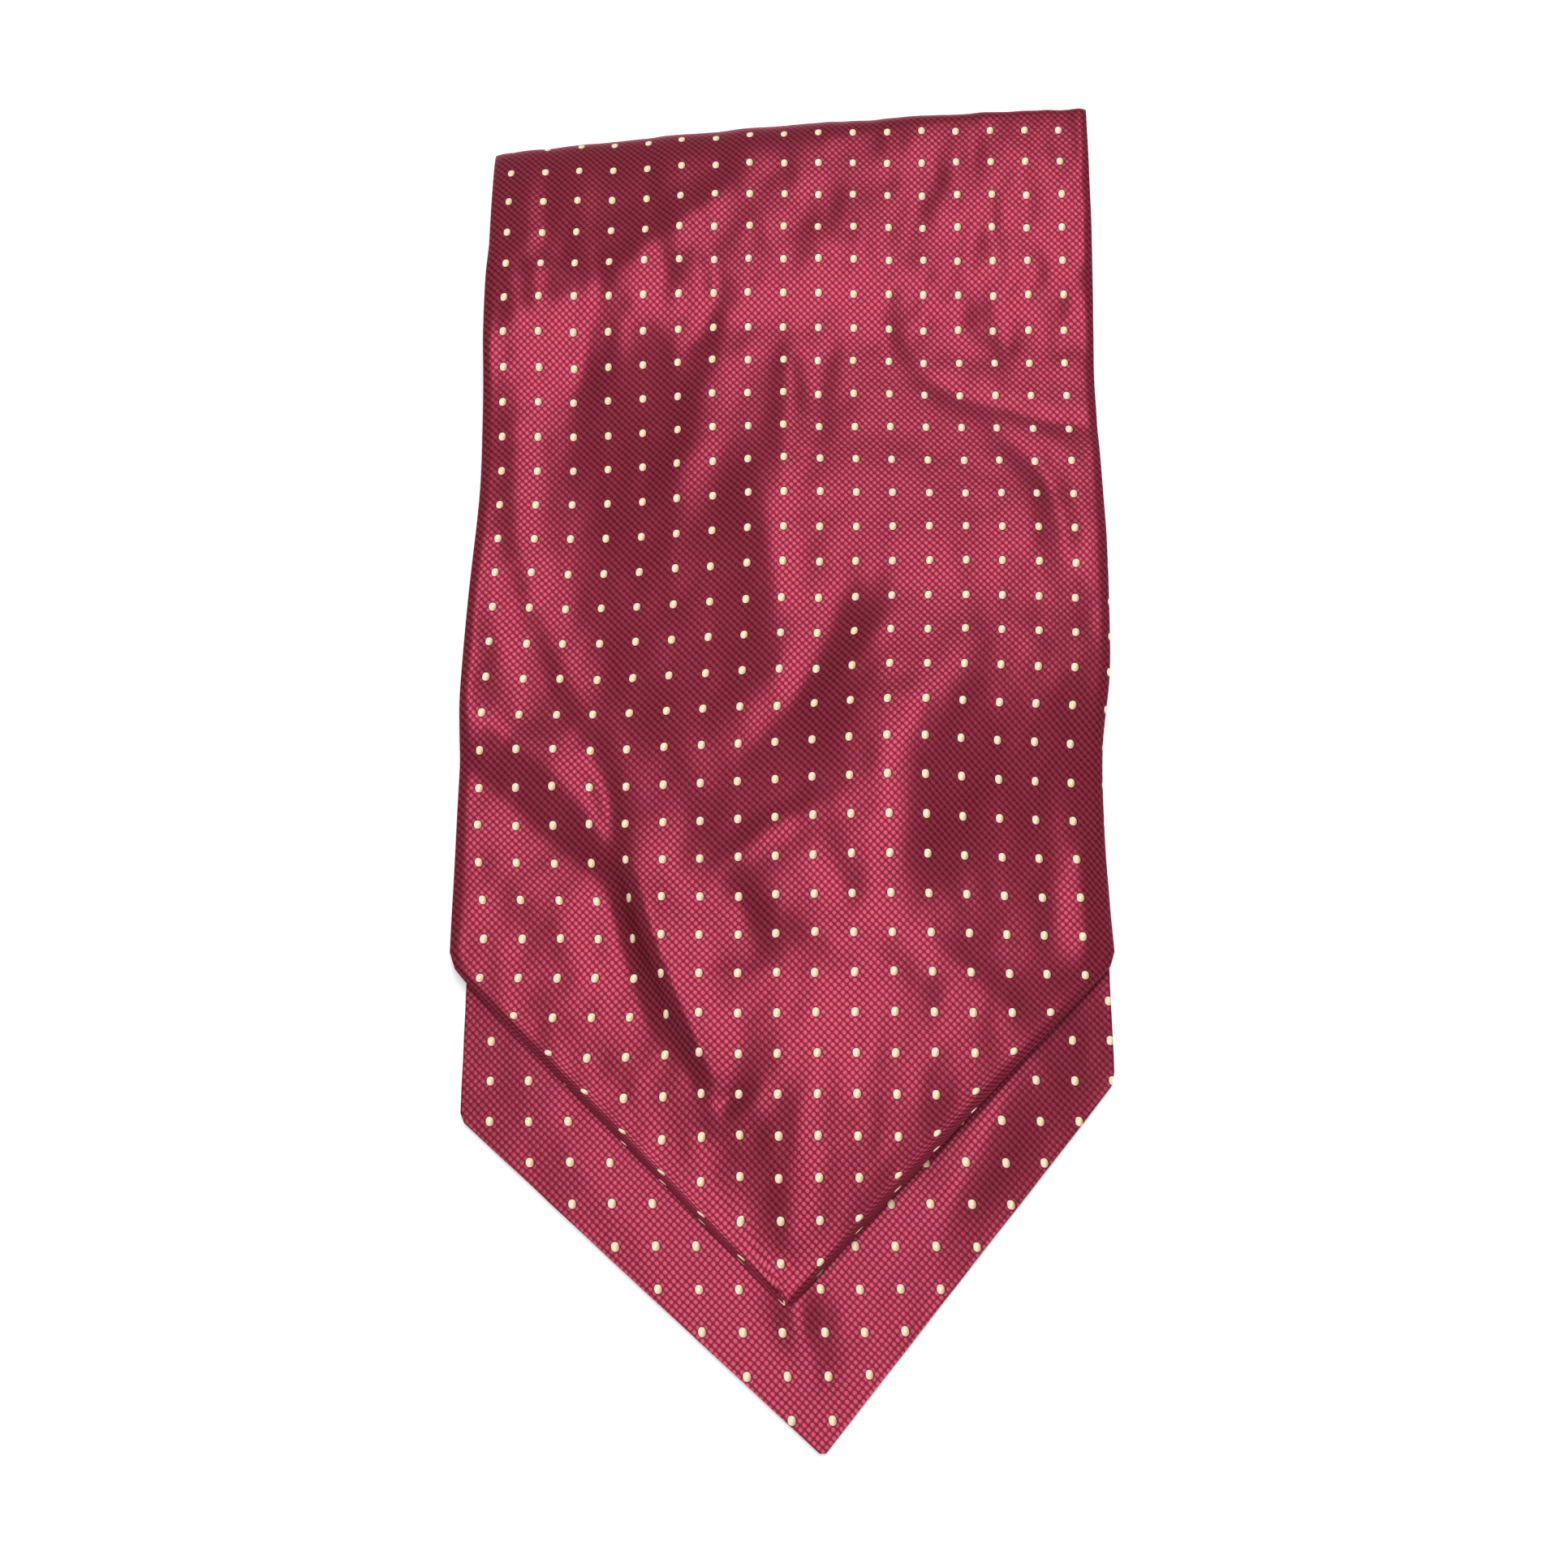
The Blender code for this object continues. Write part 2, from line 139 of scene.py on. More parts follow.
# %% Folds
FoldPoint = namedtuple("FoldPoint", "x y height near far")
Fold = namedtuple("Fold", "name soft points")
FOLDS = (
    Fold("edge of the layers below", 0.35, (
        FoldPoint(-80, 2, 1.4, 10, 14),
        FoldPoint(-66, -7, 1.8, 10, 14),
        FoldPoint(-55, -17, 1.8, 10, 14),
        FoldPoint(-45, -29, 2.0, 10, 15),
        FoldPoint(-38, -39, 3.8, 5, 22),
        FoldPoint(-34, -50, 5.6, 5.0, 30),
        FoldPoint(-29, -64, 5.2, 4.2, 32),
        FoldPoint(-22, -79, 3.5, 4.0, 28),
        FoldPoint(-14, -94, 0.0, 5, 14),
    )),
    Fold("hollow beside that edge", 0.1, (
        FoldPoint(-80, -11, -1.0, 12, 6),
        FoldPoint(-66, -24, -1.2, 12, 6),
        FoldPoint(-56, -33, -1.1, 14, 5),
        FoldPoint(-44, -44, -1.1, 14, 4),
        FoldPoint(-37, -63, -1.3, 12, 3),
        FoldPoint(-31, -78, -0.5, 12, 3),
        FoldPoint(-22, -90, 0.0, 10, 3),
    )),
    Fold("crease at the right edge", 0.6, (
        FoldPoint(36, 92, 0.0, 10, 8),
        FoldPoint(50, 84, 0.1, 14, 8),
        FoldPoint(64, 77, 0.2, 14, 8),
        FoldPoint(80, 74, 0.2, 14, 8),
    )),
    Fold("low trough on the upper left", 0.5, (
        FoldPoint(-55, 112, 0.0, 10, 10),
        FoldPoint(-53, 96, -0.9, 10, 12),
        FoldPoint(-56, 78, -0.5, 12, 12),
        FoldPoint(-59, 60, -0.2, 11, 12),
        FoldPoint(-62, 44, 0.0, 8, 10),
    )),
    Fold("low ridge above the middle", 0.6, (
        FoldPoint(-3, 76, 0.0, 9, 8),
        FoldPoint(-6, 54, 1.0, 14, 9),
        FoldPoint(-4, 34, 1.0, 14, 10),
        FoldPoint(-3, 14, 0.7, 14, 8),
        FoldPoint(-5, 0, 0.0, 9, 8),
    )),
    Fold("trough beside the high middle", 0.5, (
        FoldPoint(18, 36, 0.0, 7, 8),
        FoldPoint(13, 24, -1.0, 9, 12),
        FoldPoint(5, 6, -1.2, 10, 16),
        FoldPoint(-6, -8, -0.9, 10, 16),
        FoldPoint(-20, -18, 0.0, 8, 12),
    )),
    Fold("left edge ridge", 0.5, (
        FoldPoint(-79, 50, 0.0, 8, 16),
        FoldPoint(-80, 33, 1.6, 8, 20),
        FoldPoint(-80, 15, 2.2, 8, 20),
        FoldPoint(-80, 2, 1.6, 8, 18),
        FoldPoint(-79, -12, 0.0, 8, 12),
    )),
    Fold("thin crease into the deep fold", 0.3, (
        FoldPoint(-49, -10, 0.0, 4, 4),
        FoldPoint(-44, -19, -0.8, 4, 4),
        FoldPoint(-42, -27, -1.0, 4, 4),
        FoldPoint(-41, -37, -0.8, 4, 4),
        FoldPoint(-40, -47, 0.0, 4, 4),
    )),
    Fold("slanting ridge below the middle", 0.4, (
        FoldPoint(-13, -39, 0.0, 6, 6),
        FoldPoint(-4, -47, 0.8, 7, 8),
        FoldPoint(10, -57, 1.0, 8, 8),
        FoldPoint(23, -64, 0.9, 8, 8),
        FoldPoint(36, -71, 0.0, 8, 8),
    )),
    Fold("short slanting crease", 0.4, (
        FoldPoint(-20, -42, 0.0, 4, 5),
        FoldPoint(-11, -35, 0.6, 5, 5),
        FoldPoint(0, -28, 0.7, 5, 5),
        FoldPoint(14, -24, 0.0, 5, 5),
    )),
    Fold("trough above the slanting ridge", 0.5, (
        FoldPoint(6, -35, 0.0, 6, 6),
        FoldPoint(12, -43, -0.7, 6, 7),
        FoldPoint(16, -51, 0.0, 6, 6),
    )),
    Fold("hollow left of the slanting ridge", 0.5, (
        FoldPoint(-12, -43, 0.0, 6, 6),
        FoldPoint(-9, -53, -0.9, 7, 6),
        FoldPoint(-6, -64, 0.0, 6, 6),
    )),
    Fold("spine of the point", 0.9, (
        FoldPoint(10, -80, 0.0, 18, 26),
        FoldPoint(6, -96, 1.7, 20, 40),
        FoldPoint(4, -110, 1.7, 18, 34),
        FoldPoint(2, -123, 1.0, 12, 20),
        FoldPoint(1, -131, 0.0, 8, 8),
    )),
    Fold("hook above the point", 0.4, (
        FoldPoint(-19, -89, 0.0, 5, 5),
        FoldPoint(-15, -99, 0.7, 6, 6),
        FoldPoint(-8, -95, 0.8, 5, 6),
        FoldPoint(-4, -85, 0.0, 5, 5),
    )),
    Fold("low fold to the left shoulder", 0.6, (
        FoldPoint(-63, -66, 0.0, 8, 9),
        FoldPoint(-51, -74, 0.3, 8, 10),
        FoldPoint(-38, -84, 0.4, 8, 10),
        FoldPoint(-26, -95, 0.0, 7, 9),
    )),
    Fold("low ridge on the left", 0.6, (
        FoldPoint(-74, -26, 0.0, 7, 8),
        FoldPoint(-64, -41, 0.3, 7, 9),
        FoldPoint(-52, -55, 0.3, 7, 9),
        FoldPoint(-43, -70, 0.0, 7, 9),
    )),
    Fold("right edge roll", 0.5, (
        FoldPoint(71, -26, 0.0, 7, 4),
        FoldPoint(70, -41, 0.9, 8, 4),
        FoldPoint(70, -57, 0.8, 8, 4),
        FoldPoint(67, -67, 0.0, 7, 4),
    )),
    Fold("fold to the right shoulder", 0.4, (
        FoldPoint(29, -55, 0.0, 7, 7),
        FoldPoint(40, -64, 0.7, 8, 7),
        FoldPoint(51, -74, 0.6, 8, 7),
        FoldPoint(57, -82, 0.0, 7, 7),
    )),
    Fold("crest of the right side", 0.6, (
        FoldPoint(50, 24, 0.0, 10, 8),
        FoldPoint(43, 11, 0.5, 12, 9),
        FoldPoint(33, -4, 0.7, 14, 10),
        FoldPoint(29, -19, 0.6, 14, 10),
        FoldPoint(27, -36, 0.5, 12, 10),
        FoldPoint(27, -51, 0.0, 10, 8),
    )),
    Fold("crease from the right edge", 0.2, (
        FoldPoint(31, 93, 0.0, 4, 5),
        FoldPoint(44, 85, -0.5, 8, 5),
        FoldPoint(56, 81, -0.7, 10, 5),
        FoldPoint(68, 77, -0.7, 10, 5),
        FoldPoint(78, 76, -0.5, 9, 5),
    )),
    Fold("arc below that crease", 0.5, (
        FoldPoint(50, 73, 0.0, 6, 6),
        FoldPoint(60, 69, -0.6, 7, 6),
        FoldPoint(66, 57, -0.9, 8, 6),
        FoldPoint(69, 41, -0.5, 8, 6),
        FoldPoint(70, 28, 0.0, 6, 6),
    )),
    Fold("dimple on the upper right", 0.5, (
        FoldPoint(29, 116, 0.0, 5, 6),
        FoldPoint(31, 105, -0.5, 6, 7),
        FoldPoint(32, 94, -0.2, 6, 7),
        FoldPoint(33, 85, 0.0, 5, 5),
    )),
    Fold("streak on the hump", 0.5, (
        FoldPoint(35, 161, 0.0, 5, 6),
        FoldPoint(36, 146, -0.5, 5, 7),
        FoldPoint(34, 129, -0.3, 5, 6),
        FoldPoint(33, 118, 0.0, 5, 5),
    )),
    Fold("second streak on the hump", 0.5, (
        FoldPoint(49, 157, 0.0, 4, 5),
        FoldPoint(50, 138, -0.5, 4, 5),
        FoldPoint(48, 120, -0.3, 4, 5),
        FoldPoint(46, 109, 0.0, 4, 5),
    )),
    Fold("dimple near the right crease", 0.5, (
        FoldPoint(54, 116, 0.0, 6, 6),
        FoldPoint(58, 105, -0.6, 7, 7),
        FoldPoint(55, 92, 0.0, 6, 6),
    )),
    Fold("ridge down from the hump", 0.5, (
        FoldPoint(-14, 105, 0.0, 6, 10),
        FoldPoint(-19, 92, 0.9, 8, 14),
        FoldPoint(-23, 76, 1.0, 8, 14),
        FoldPoint(-27, 64, 0.9, 8, 13),
        FoldPoint(-30, 52, 0.0, 6, 10),
    )),
    Fold("second ridge down from the hump", 0.5, (
        FoldPoint(1, 103, 0.0, 4, 5),
        FoldPoint(0, 87, 0.6, 5, 5),
        FoldPoint(-1, 69, 0.5, 5, 5),
        FoldPoint(-1, 50, 0.0, 5, 5),
    )),
    Fold("trough right of it", 0.5, (
        FoldPoint(9, 98, 0.0, 5, 5),
        FoldPoint(7, 80, -0.5, 5, 6),
        FoldPoint(6, 60, 0.0, 5, 5),
    )),
    Fold("left cheek of the hump", 0.5, (
        FoldPoint(-4, 158, 0.0, 8, 8),
        FoldPoint(-19, 141, 0.8, 9, 10),
        FoldPoint(-34, 127, 0.8, 9, 10),
        FoldPoint(-48, 117, 0.5, 8, 9),
        FoldPoint(-61, 112, 0.0, 8, 8),
    )),
    Fold("dimple on the left of the hump", 0.5, (
        FoldPoint(-15, 120, 0.0, 6, 6),
        FoldPoint(-18, 112, -0.6, 6, 6),
        FoldPoint(-19, 101, 0.0, 6, 6),
    )),
    Fold("patch near the left edge", 0.5, (
        FoldPoint(-69, 120, 0.0, 6, 6),
        FoldPoint(-64, 107, 0.4, 7, 8),
        FoldPoint(-61, 96, -0.2, 7, 8),
        FoldPoint(-58, 82, 0.0, 6, 6),
    )),
    Fold("streak down the left", 0.5, (
        FoldPoint(-68, 89, 0.0, 5, 7),
        FoldPoint(-69, 69, 0.4, 5, 8),
        FoldPoint(-67, 46, 0.5, 5, 8),
        FoldPoint(-60, 24, 0.6, 5, 8),
        FoldPoint(-51, 4, 0.6, 5, 8),
        FoldPoint(-40, -12, 0.5, 5, 8),
        FoldPoint(-33, -24, 0.0, 5, 6),
    )),
    Fold("streak left of it", 0.5, (
        FoldPoint(-75, 60, 0.0, 6, 7),
        FoldPoint(-74, 41, -0.3, 8, 7),
        FoldPoint(-71, 22, -0.35, 8, 7),
        FoldPoint(-66, 4, -0.2, 8, 7),
        FoldPoint(-60, -10, 0.0, 6, 6),
    )),
    Fold("fork over the dark middle", 0.4, (
        FoldPoint(28, 27, 0.0, 5, 5),
        FoldPoint(18, 15, 0.5, 5, 5),
        FoldPoint(10, 4, 0.4, 5, 5),
        FoldPoint(3, -4, 0.0, 5, 5),
    )),
)
BACK_FOLDS = (
    Fold("slope at the right corner", 0.6, (
        FoldPoint(70, -64, 0.6, 20, 14),
        FoldPoint(56, -84, 2.0, 20, 24),
        FoldPoint(44, -104, 2.0, 20, 20),
        FoldPoint(34, -122, 0.6, 14, 14),
        FoldPoint(30, -132, 0.0, 10, 10),
    )),
    Fold("low ridge under the front point", 0.5, (
        FoldPoint(-1, -132, 0.0, 9, 9),
        FoldPoint(2, -140, 1.4, 9, 10),
        FoldPoint(5, -149, 0.9, 8, 9),
        FoldPoint(7, -160, 0.0, 6, 6),
    )),
    Fold("soft rise on the left", 0.7, (
        FoldPoint(-66, -82, 0.0, 10, 10),
        FoldPoint(-52, -104, 0.4, 12, 12),
        FoldPoint(-34, -124, 0.4, 10, 12),
        FoldPoint(-18, -142, 0.0, 8, 10),
    )),
)
CURVE_STEPS = 5
FOLD_BLEND = 0.3
CREST_ROUND = 1.2
FOLD_BLEND_GROWTH = 0.25


def curve_through(points):
    """A smooth curve through a fold's points, with their heights and widths."""
    rows = np.array(points, float)
    rows = np.vstack([2 * rows[0] - rows[1], rows, 2 * rows[-1] - rows[-2]])
    found = []
    for before, first, last, after in zip(rows, rows[1:], rows[2:], rows[3:]):
        for step in range(CURVE_STEPS):
            t = step / CURVE_STEPS
            bend = 2 * before - 5 * first + 4 * last - after
            sway = 3 * first - before - 3 * last + after
            found.append(first + 0.5 * ((last - before) * t + bend * t ** 2 + sway * t ** 3))
    found.append(rows[-2])
    return found


def fold_height(fold, x, y):
    """Height that one fold adds at each point of the cloth."""
    line = curve_through(fold.points)
    distances = []
    heights = []
    for first, last in zip(line[:-1], line[1:]):
        run_x, run_y = last[0] - first[0], last[1] - first[1]
        t = ((x - first[0]) * run_x + (y - first[1]) * run_y) / (run_x ** 2 + run_y ** 2)
        t = np.clip(t, 0, 1)
        off_x = x - first[0] - t * run_x
        off_y = y - first[1] - t * run_y
        distance = np.hypot(off_x, off_y)
        height, near, far = (first[k] + t * (last[k] - first[k]) for k in (2, 3, 4))
        width = np.where(run_x * off_y - run_y * off_x > 0, far, near)
        q = np.clip((np.hypot(distance, CREST_ROUND) - CREST_ROUND) / width, 0, 1)
        distances.append(distance)
        heights.append(height * (1 - q) ** 2 * (1 + 2 * fold.soft * q))
    distances = np.array(distances)
    nearest = distances.min(axis=0)
    reach = FOLD_BLEND + FOLD_BLEND_GROWTH * nearest
    weights = np.exp((nearest - distances) / reach)
    return (weights * np.array(heights)).sum(axis=0) / weights.sum(axis=0)


# %% [markdown]
# These functions read a smooth surface from the sections: a curve through the rows from
# the folded end to the point, and one through the seven heights from edge to edge.

# %% Surface of a blade
def flat_rows(sections):
    """A table's rows as plain numbers: two ends and seven heights."""
    return np.array([(*section[:4], *section.heights) for section in sections], float)


def smooth_curve(rows, at, level_start):
    """Rows read from a smooth curve through the rows given. With level_start, the
    heights leave the first row level."""
    tangent = np.zeros_like(rows)
    tangent[1:-1] = (rows[2:] - rows[:-2]) / 2
    tangent[-1] = rows[-1] - rows[-2]
    tangent[0] = rows[1] - rows[0]
    if level_start:
        tangent[0, 4:] = 0.0
    first = np.clip(at.astype(int), 0, len(rows) - 2)
    t = (at - first)[:, None]
    start = (2 * t ** 3 - 3 * t ** 2 + 1) * rows[first] + (t ** 3 - 2 * t ** 2 + t) * tangent[first]
    end = (3 * t ** 2 - 2 * t ** 3) * rows[first + 1] + (t ** 3 - t ** 2) * tangent[first + 1]
    return start + end


def straight_sections(sections, counts):
    """Sections on straight lines between the rows, with a count for each interval."""
    rows = flat_rows(sections)
    found = []
    for first, last, count in zip(rows[:-1], rows[1:], counts):
        for step in range(count):
            found.append(first + (last - first) * (step + 1) / count)
    return np.array(found)


def spread(rows, columns):
    """Points of every section at every column, on a smooth curve through its heights."""
    share = (columns + 1) / 2
    x = rows[:, 0:1] + (rows[:, 2:3] - rows[:, 0:1]) * share
    y = rows[:, 1:2] + (rows[:, 3:4] - rows[:, 1:2]) * share
    heights = rows[:, 4:]
    z = smooth_curve(heights.T, share * (heights.shape[1] - 1), False).T
    return np.stack([x, y, z], axis=-1)


def turn_depth(columns, fade):
    """Depth of the folded end's turn: deep at the left edge, shallow at the right."""
    left = (1 - columns) / 2
    return TURN_DEPTH_RIGHT + (TURN_DEPTH_LEFT - TURN_DEPTH_RIGHT) * left ** fade


def front_surface(columns, stations, shoulder, point_stations):
    """Top of the front blade from the crest of the folded end to the point. It is never
    lower than the layers that it rests on."""
    at = np.linspace(0.0, len(FRONT_SECTIONS) - 1.0, stations)
    main = smooth_curve(flat_rows(FRONT_SECTIONS), at, True)
    shoulders = straight_sections(FRONT_SHOULDERS, shoulder)
    at_point = np.linspace(0.0, len(FRONT_POINT) - 1.0, point_stations + 1)[1:]
    point = smooth_curve(flat_rows(FRONT_POINT), at_point, False)
    points = spread(np.vstack([main, shoulders, point]), columns)
    bow = np.zeros(len(points))
    bow[:stations] = np.clip(1 - at / TURN_BOW_ROWS, 0, 1) ** 2
    reach = TURN_BOW * (1 - columns ** 2) + turn_depth(columns, 1) - turn_depth(columns, TURN_FADE)
    points[..., 1] += bow[:, None] * reach
    for fold in FOLDS:
        points[..., 2] += fold_height(fold, points[..., 0], points[..., 1])
    over_band = np.clip((points[..., 1] - BAND_REST_END) / BAND_REST_RUN, 0, 1)
    rest = REST_HEIGHT + BAND_LEAST_HEIGHT * over_band
    over = (points[..., 2] - rest) / REST_BLEND
    points[..., 2] = rest + REST_BLEND * np.logaddexp(0, over)
    return points


def turned_edge(crest, depth, bottom, steps):
    """Cloth that wraps from a crest line round the folded end to the level below."""
    half_height = (crest[:, 2] - bottom) / 2
    rows = []
    for step in range(1, steps + 1):
        angle = math.pi / 2 - math.pi * step / steps
        row = crest.copy()
        row[:, 1] += depth * max(math.cos(angle), 0.0) ** TURN_SQUARENESS
        rise = math.copysign(abs(math.sin(angle)) ** TURN_SQUARENESS, math.sin(angle))
        row[:, 2] += half_height * (rise - 1)
        rows.append(row)
    return rows


# %% [markdown]
# A blade is cut as a long flat panel, so it starts as a flat grid in the cloth's own
# coordinates. Each vertex then moves to its place on the surface. The lengths along the
# rows and down the middle column are kept as the cloth's UV map in metres: the weave and
# the dots are drawn in it, and so keep their size on every fold. Solidify gives the grid
# its wall, and a bevel rounds the edge, which is a turned and pressed seam.

# %% Cloth from a grid
EVENING_PASSES = 60
RIM_ANGLE = 1.0
RIM_SEGMENTS = 3


def smoothed(values, axis):
    """Values evened out along an axis, as woven cloth shares out a stretch."""
    values = np.moveaxis(values.copy(), axis, 0)
    for _ in range(EVENING_PASSES):
        values[1:-1] += (values[:-2] - 2 * values[1:-1] + values[2:]) / 4
    return np.moveaxis(values, 0, axis)


def cloth_lengths(table, turned_rows, level_row):
    """Cloth lengths of each point, across from the middle column and along from the
    level row, in millimetres. Slopes are taken straight across and straight along."""
    x, y, z = np.moveaxis(table, 2, 0)
    slope_across = np.gradient(z, axis=1) / np.gradient(x, axis=1)
    step_x, step_y, step_z = (np.diff(v, axis=0) for v in (x, y, z))
    between = (slope_across[1:] + slope_across[:-1]) / 2
    rise = step_z - between * step_x
    along = np.concatenate([np.zeros((1, x.shape[1])), np.cumsum(np.hypot(step_y, rise), axis=0)])
    along = along[level_row] - along + y[level_row]
    flat = slice(turned_rows, None)
    slope_along = np.gradient(z[flat], axis=0) / np.gradient(y[flat], axis=0)
    step_x, step_y, step_z = (np.diff(v[flat], axis=1) for v in (x, y, z))
    between = (slope_along[:, 1:] + slope_along[:, :-1]) / 2
    rise = step_z - between * step_y
    across = np.zeros_like(x)
    across[flat, 1:] = np.cumsum(np.hypot(step_x, rise), axis=1)
    across[flat] -= across[flat, x.shape[1] // 2][:, None]
    across[:turned_rows] = across[turned_rows]
    return x + smoothed(across - x, 0), y + smoothed(along - y, 1)


def grid_places(grid, rows, columns):
    """Row and column of each vertex of a new grid of size 1."""
    places = []
    for vert in grid.verts:
        column = round((vert.co.x + 1) / 2 * (columns - 1))
        row = round((1 - vert.co.y) / 2 * (rows - 1))
        places.append((row, column))
    return places


def finished(name, cut, material):
    """The mesh as an object with its material. Prints its triangles and its size."""
    mesh = bpy.data.meshes.new(name)
    cut.to_mesh(mesh)
    cut.free()
    mesh.shade_smooth()
    mesh.materials.append(material)
    made = bpy.data.objects.new(name, mesh)
    bpy.context.scene.collection.objects.link(made)
    triangles = sum(len(face.vertices) - 2 for face in mesh.polygons)
    print(name, triangles, "triangles", [round(v / MM, 1) for v in made.dimensions])
    return made


def cloth_piece(name, table, lengths, wall, rounding, material):
    """A panel of cloth whose outer side goes through the table's points."""
    rows, columns = table.shape[:2]
    cut = bmesh.new()
    cloth_map = cut.loops.layers.uv.new("Cloth")
    bmesh.ops.create_grid(cut, x_segments=columns - 1, y_segments=rows - 1, size=1.0)
    across, along = lengths
    places = grid_places(cut, rows, columns)
    for face in cut.faces:
        for loop in face.loops:
            row, column = places[loop.vert.index]
            loop[cloth_map].uv = (across[row, column] * MM, along[row, column] * MM)
    for vert, place in zip(cut.verts, places):
        x, y, z = table[place]
        vert.co = Vector((x, y + CENTRE_Y, z)) * MM
    bmesh.ops.recalc_face_normals(cut, faces=cut.faces)
    highest = max(cut.faces, key=lambda face: face.calc_center_median().z)
    if highest.normal.z < 0:
        bmesh.ops.reverse_faces(cut, faces=cut.faces)
    bmesh.ops.solidify(cut, geom=cut.faces[:], thickness=wall * MM)
    rim = [edge for edge in cut.edges if edge.is_manifold and edge.calc_face_angle(0) > RIM_ANGLE]
    bmesh.ops.bevel(cut, geom=rim, offset=rounding * MM, offset_type="OFFSET", affect="EDGES",
                    segments=RIM_SEGMENTS, profile=0.5, material=-1, clamp_overlap=True)
    bmesh.ops.recalc_face_normals(cut, faces=cut.faces)
    return finished(name, cut, material)


# %% [markdown]
# The silk is drawn by shared node groups, which these short helpers put together. Most
# of them add one node and give back its output.

# %% Node helpers
def node_group(name, inputs, outputs):
    """A shader node group with named float or vector sockets."""
    group = bpy.data.node_groups.new(name, "ShaderNodeTree")
    for kind, sockets in (("INPUT", inputs), ("OUTPUT", outputs)):
        for socket_name, socket_type, value in sockets:
            socket = group.interface.new_socket(socket_name, in_out=kind, socket_type=socket_type)
            if value is not None:
                socket.default_value = value
    return group, group.nodes.new("NodeGroupInput"), group.nodes.new("NodeGroupOutput")


def wire(tree, target, value):
    """Sets a socket, or links it if the value is another node's socket."""
    if isinstance(value, bpy.types.NodeSocket):
        tree.links.new(value, target)
    else:
        target.default_value = value


def maths(tree, operation, *values):
    """A Math node's result."""
    node = tree.nodes.new("ShaderNodeMath")
    node.operation = operation
    for socket, value in zip(node.inputs, values):
        wire(tree, socket, value)
    return node.outputs[0]


def ramp(tree, value, low, high, to_low=0.0, to_high=1.0):
    """A smooth step from to_low to to_high between two values."""
    node = tree.nodes.new("ShaderNodeMapRange")
    node.interpolation_type = "SMOOTHSTEP"
    for socket, number in zip(node.inputs, (value, low, high, to_low, to_high)):
        wire(tree, socket, number)
    return node.outputs[0]


def mixed(tree, share, first, second):
    """Two colours mixed by a share."""
    node = tree.nodes.new("ShaderNodeMix")
    node.data_type = "RGBA"
    wire(tree, node.inputs["Factor"], share)
    wire(tree, node.inputs["A"], first)
    wire(tree, node.inputs["B"], second)
    return node.outputs["Result"]


def noise(tree, vector, scale, detail=2.0):
    """A noise texture's value."""
    node = tree.nodes.new("ShaderNodeTexNoise")
    wire(tree, node.inputs["Vector"], vector)
    wire(tree, node.inputs["Scale"], scale)
    wire(tree, node.inputs["Detail"], detail)
    return node.outputs["Fac"]


# %% [markdown]
# The first group is the woven figure: a centred lattice of small ovals, where the pink
# warp floats over the darker ground. The thread that binds the floats shows between them
# as a thin, paler line along one diagonal. Five repeats fit between two dots.

# %% Woven figure
DOT_PITCH_ACROSS = 9.05
DOT_PITCH_ALONG = 9.4
FIGURES_PER_DOT = 5
FIGURE_ROUND = 0.6


def woven_figure_group():
    """Masks of the pink floats and of the thread that binds them along one diagonal."""
    group, given, result = node_group(
        "Woven figure",
        [("Across", "NodeSocketFloat", 0.0), ("Along", "NodeSocketFloat", 0.0)],
        [("Float", "NodeSocketFloat", None), ("Thread", "NodeSocketFloat", None),
         ("Height", "NodeSocketFloat", None)])
    p = maths(group, "ADD", given.outputs["Across"], given.outputs["Along"])
    q = maths(group, "SUBTRACT", given.outputs["Across"], given.outputs["Along"])
    waves = []
    for phase in (p, q):
        wave = maths(group, "COSINE", maths(group, "MULTIPLY", phase, math.pi))
        waves.append(maths(group, "ABSOLUTE", wave))
    both = maths(group, "MULTIPLY", *waves)
    group.links.new(ramp(group, both, 0.04, 0.85), result.inputs["Float"])
    group.links.new(ramp(group, waves[0], 0.80, 1.0), result.inputs["Thread"])
    group.links.new(maths(group, "POWER", both, FIGURE_ROUND), result.inputs["Height"])
    return group


WOVEN_FIGURE = woven_figure_group()

# %% [markdown]
# The second group is the dots. They are cream brocading threads in small upright ovals,
# raised over the ground, with a rim of painted shade where they sink in. Light comes over
# their near side, so their far side, to the right, is painted tan as shade with a darker
# painted rim. A wandering of the grid by a fraction of a millimetre keeps them from
# looking printed.

# %% Cream dots
DOT_SQUARENESS = 2.2
DOT_SLANT = -0.35


